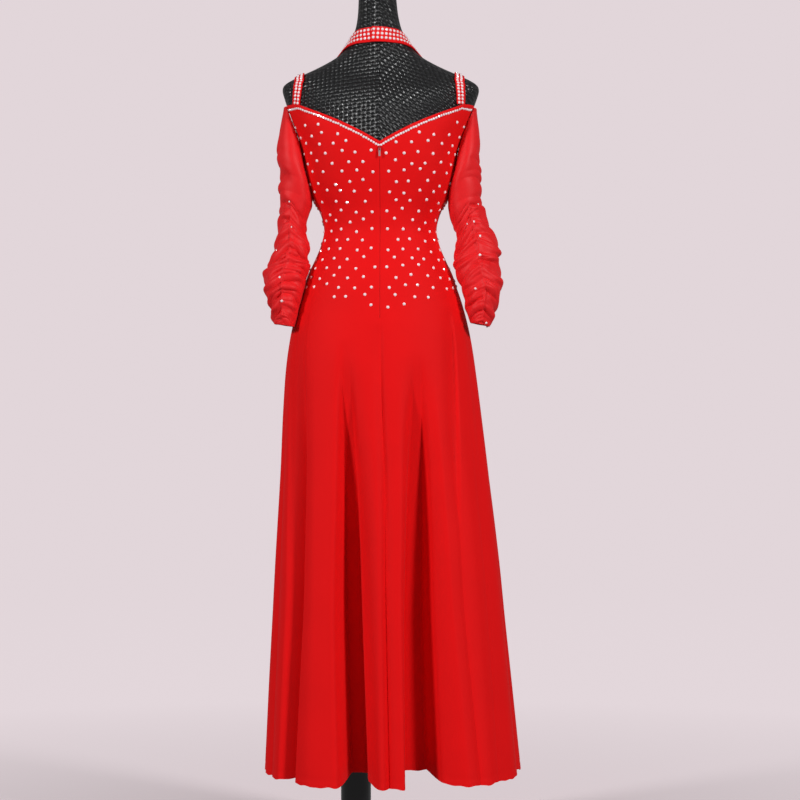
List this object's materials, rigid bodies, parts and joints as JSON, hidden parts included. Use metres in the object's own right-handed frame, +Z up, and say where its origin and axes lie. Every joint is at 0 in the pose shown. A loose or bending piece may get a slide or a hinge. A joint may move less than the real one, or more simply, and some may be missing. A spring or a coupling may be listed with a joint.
{
  "type": "ballroom dance dress on a dress form",
  "caption": "Floor-length fitted ballroom dress with ruched off-shoulder sleeves, stoned neckband and flared skirt, on a limbless dress form.",
  "frame": {"origin": "on the underside of the form's base, under the dress's centre-back line", "axes": "+Z up, +Y the way the wearer faces, +X to the wearer's right"},
  "size_m": [0.4905, 0.34, 1.6599],
  "materials": {
    "red_crepe": "matt stretch crepe with a soft sheen",
    "red_mesh": "sheer stretch mesh, gathered",
    "red_trim": "folded crepe strip set with clear rhinestones",
    "black_form": "glossy black woven look",
    "black_metal": "gloss black paint",
    "red_zip_metal": "red lacquer"
  },
  "bodies": {
    "dress_and_form": {"skirt_back_left": "red_crepe", "skirt_back_right": "red_crepe", "skirt_side_left": "red_crepe", "skirt_side_right": "red_crepe", "skirt_front": "red_crepe", "back_bodice_left": "red_crepe", "back_bodice_right": "red_crepe", "front_bodice": "red_crepe", "sleeve_left": "red_mesh", "sleeve_right": "red_mesh", "neckline_binding_back": "red_trim", "neckline_binding_front": "red_trim", "strap_left": "red_trim", "strap_right": "red_trim", "neckband_left": "red_trim", "neckband_right": "red_trim", "zip_slider": "red_zip_metal", "form_body": "black_form", "form_pole": "black_metal", "form_base": "black_metal"},
    "zip_pull": {"zip_pull": "red_zip_metal"}
  },
  "joints": [
    {"name": "zip_pull_swing", "type": "hinge", "parent": "dress_and_form", "child": "zip_pull", "pos_m": [0, -0.10751, 1.3285], "axis": [-1, 0, 0], "range_deg": [0, 150]}
  ]
}
